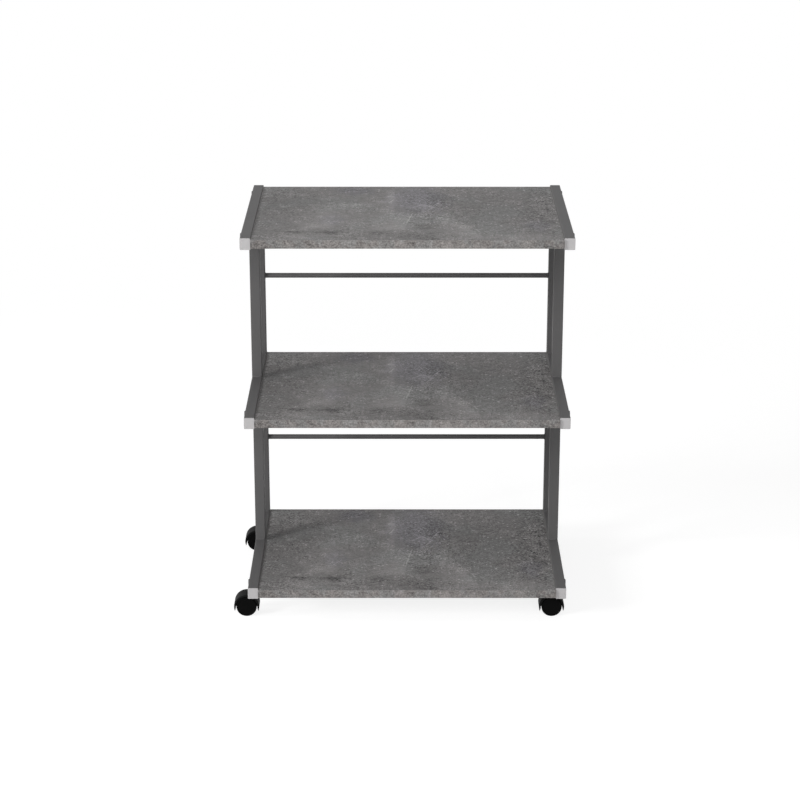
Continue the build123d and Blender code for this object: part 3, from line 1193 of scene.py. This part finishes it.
@dataclass
class Boards:
    """The three boards with their edging."""

    wardrobe: Wardrobe
    decor: ConcreteDecor = field(default_factory=ConcreteDecor)

    def build(self) -> None:
        """Dress the boards and their edging."""
        tops = [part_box(f"{level.value}_board")[1].z for level in Level]
        low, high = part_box(f"{Level.TOP.value}_board")
        edging = ConcreteEdging(top=tops[-1], pitch=tops[-1] - tops[-2], middle=(low.x + high.x) / 2)
        self.wardrobe.dress([f"{level.value}_board" for level in Level], self.decor)
        self.wardrobe.dress([f"{level.value}_board_edging" for level in Level], edging)


@dataclass
class Crossbars:
    """The two crossbars between the rear posts."""

    wardrobe: Wardrobe
    coat: PowderCoat = field(default_factory=PowderCoat)

    def build(self) -> None:
        """Dress the crossbars."""
        self.wardrobe.dress([f"{bay.value}_crossbar" for bay in Bay], self.coat)


@dataclass
class Fasteners:
    """The bolts, nuts, rings and washers, and the castors' stems and axles."""

    wardrobe: Wardrobe
    black: PlatedSteel = PlatedSteel(
        name="black_bolt_steel",
        colour=(0.045, 0.045, 0.048),
        stain=(0.030, 0.031, 0.036),
        roughness=0.42,
        metal=0.7,
    )
    zinc: PlatedSteel = PlatedSteel(
        name="zinc_plated_steel",
        colour=(0.60, 0.61, 0.63),
        stain=(0.50, 0.51, 0.50),
        roughness=0.36,
        metal=1.0,
    )

    def build(self) -> None:
        """Dress the bolts in black and the hidden hardware in zinc."""
        self.wardrobe.dress(["board_bolts", "crossbar_bolts"], self.black)
        self.wardrobe.dress(["barrel_nuts", "castor_nuts", "stem_rings", "swivel_washers"], self.zinc)
        self.wardrobe.dress([f"castor_stem_{corner}" for corner in CORNERS], self.zinc)
        self.wardrobe.dress([f"castor_axle_{corner}" for corner in CORNERS], self.zinc)


@dataclass
class Castors:
    """The housings and wheels of the four twin-wheel castors."""

    wardrobe: Wardrobe
    hood: BlackPlastic = BlackPlastic(
        name="black_hood_nylon", colour=(0.0080, 0.0080, 0.0080), roughness=0.50, gloss=0.03
    )
    wheel: BlackPlastic = BlackPlastic(
        name="black_wheel_plastic", colour=(0.0036, 0.0036, 0.0036), roughness=0.46, gloss=0.02
    )

    def build(self) -> None:
        """Dress the housings and wheels."""
        wheels = [f"castor_wheel_{corner}_{wheel}" for corner in CORNERS for wheel in "ab"]
        self.wardrobe.dress([f"castor_housing_{corner}" for corner in CORNERS], self.hood)
        self.wardrobe.dress(wheels, self.wheel)


# ------------------------------------------------------------------------------- the studio
@dataclass(frozen=True)
class Softbox:
    """A square soft light, aimed at a point."""

    name: str
    place: Point
    size: float
    watts: float

    def hang(self, aim: Point) -> None:
        """Hang the light.

        Args:
            aim: The point that it faces.
        """
        lamp = bpy.data.lights.new(self.name, "AREA")
        lamp.shape = "SQUARE"
        lamp.size = self.size
        lamp.energy = self.watts
        holder = bpy.data.objects.new(self.name, lamp)
        holder.location = self.place
        holder.rotation_euler = (Vector(aim) - Vector(self.place)).to_track_quat("-Z", "Y").to_euler()
        holder.visible_camera = False
        bpy.context.scene.collection.objects.link(holder)
        log.info("light %s", self.name)


@dataclass
class Studio:
    """A plain pale floor, soft light from the front left and a long lens from a little above."""

    camera_place: Point = (0.00163, -4.16897, 1.8093)
    camera_tilt: float = 71.178
    camera_pan: float = 0.0196
    lens: float = 99.57
    sensor: float = 36.0
    sight: float = 100.0
    floor_radius: float = 9.0
    floor_corners: int = 96
    floor_colour: Colour = (0.80, 0.80, 0.80)
    floor_seen_colour: Colour = (0.30, 0.30, 0.30)
    floor_fleck: Grain = Grain(14.0, detail=3.0, tone=0.02)
    floor_lift: float = 0.83
    floor_fade_start: float = 1.0
    floor_fade_end: float = 2.4
    sky: float = 0.19
    aim: Point = (0.0, 0.0, 0.40)
    lights: tuple[Softbox, ...] = (
        Softbox("key_light", (-7.3, -4.6, 3.8), 2.4, 550.0),
        Softbox("front_light", (1.0, -8.5, 3.4), 3.7, 325.0),
        Softbox("side_light", (-8.5, -0.3, 3.3), 1.2, 200.0),
        Softbox("top_light", (0.3, -1.0, 3.6), 2.0, 14.0),
    )

    def build(self) -> None:
        """Set up the camera, the lights, the sky and the floor."""
        self._camera()
        for light in self.lights:
            light.hang(self.aim)
        self._sky()
        self._floor()
        bpy.context.scene.view_settings.view_transform = "Standard"

    def _camera(self) -> None:
        """Set up the camera."""
        lens = bpy.data.cameras.new("studio_camera")
        lens.lens = self.lens
        lens.sensor_width = self.sensor
        lens.clip_end = self.sight
        holder = bpy.data.objects.new("studio_camera", lens)
        holder.location = self.camera_place
        holder.rotation_euler = (math.radians(self.camera_tilt), 0.0, math.radians(self.camera_pan))
        bpy.context.scene.collection.objects.link(holder)
        bpy.context.scene.camera = holder

    @staticmethod
    def _seen(sheet: NodeSheet) -> Signal:
        """Tell the rays that see the background from those that light the object.

        Args:
            sheet: The node sheet of the sky or the floor.

        Returns:
            1 for rays that come from the camera, a reflection or a see-through surface, otherwise 0.
        """
        path = sheet.add("ShaderNodeLightPath")
        kinds = ("Camera", "Glossy", "Transmission")
        camera, glossy, through = (Signal(sheet, path.outputs[f"Is {kind} Ray"]) for kind in kinds)
        return sheet.maths("MINIMUM", camera + glossy + through, 1.0)

    def _sky(self) -> None:
        """Light the object by an even pale sky, which is plain white where it is seen."""
        world = bpy.data.worlds.new("studio_sky")
        world.use_nodes = True
        bpy.context.scene.world = world
        sheet = NodeSheet(world.node_tree)
        dim = sheet.add("ShaderNodeBackground", None, {"Color": (1.0, 1.0, 1.0), "Strength": self.sky})
        white = sheet.add("ShaderNodeBackground", None, {"Color": (1.0, 1.0, 1.0), "Strength": 1.0})
        both = sheet.add(
            "ShaderNodeMixShader",
            None,
            {0: self._seen(sheet), 1: dim.outputs["Background"], 2: white.outputs["Background"]},
        )
        sheet.add("ShaderNodeOutputWorld", None, {"Surface": both.outputs["Shader"]})

    def _floor(self) -> None:
        """Lay a round pale floor that keeps a soft shadow and fades to white far from the stand."""
        Bench.clear()
        bpy.ops.mesh.primitive_circle_add(
            vertices=self.floor_corners, radius=self.floor_radius, fill_type="NGON"
        )
        floor = bpy.context.object
        floor.name = floor.data.name = "studio_floor"
        material, sheet = NodeSheet.of_material("studio_floor_white")
        where = sheet.place()
        seen = self._seen(sheet)
        fleck = swayed(1.0, (self.floor_fleck.tone, self.floor_fleck.on(sheet, where)))
        pale = sheet.mixed(seen, self.floor_colour, self.floor_seen_colour)
        matt = sheet.add("ShaderNodeBsdfDiffuse", None, {"Color": sheet.toned(pale, fleck)})
        glow = sheet.add("ShaderNodeEmission", None, {"Strength": self.floor_lift})
        dark = sheet.add("ShaderNodeEmission", None, {"Strength": 0.0})
        lift = sheet.add("ShaderNodeMixShader", None, {0: seen, 1: dark.outputs[0], 2: glow.outputs[0]})
        lit = sheet.add("ShaderNodeAddShader", None, {0: matt.outputs["BSDF"], 1: lift.outputs["Shader"]})
        white = sheet.add("ShaderNodeEmission", None, {"Strength": 1.0})
        distance = sheet.vector("LENGTH", where, output="Value")
        away = distance.rise(self.floor_fade_start, self.floor_fade_end)
        both = sheet.add(
            "ShaderNodeMixShader",
            None,
            {0: away * seen, 1: lit.outputs["Shader"], 2: white.outputs["Emission"]},
        )
        sheet.add("ShaderNodeOutputMaterial", None, {"Surface": both.outputs["Shader"]})
        floor.data.materials.append(material)
        Bench.clear()


def main() -> None:
    """Build the studio and every sub-assembly."""
    logging.basicConfig(level=logging.INFO, format="%(name)s: %(message)s")
    Studio().build()
    wardrobe = Wardrobe(frame["nodes"])
    for assembly in (SideFrames, EndCaps, Boards, Crossbars, Fasteners, Castors):
        assembly(wardrobe).build()
        log.info("built %s", assembly.__name__)


if __name__ == "__main__":
    main()
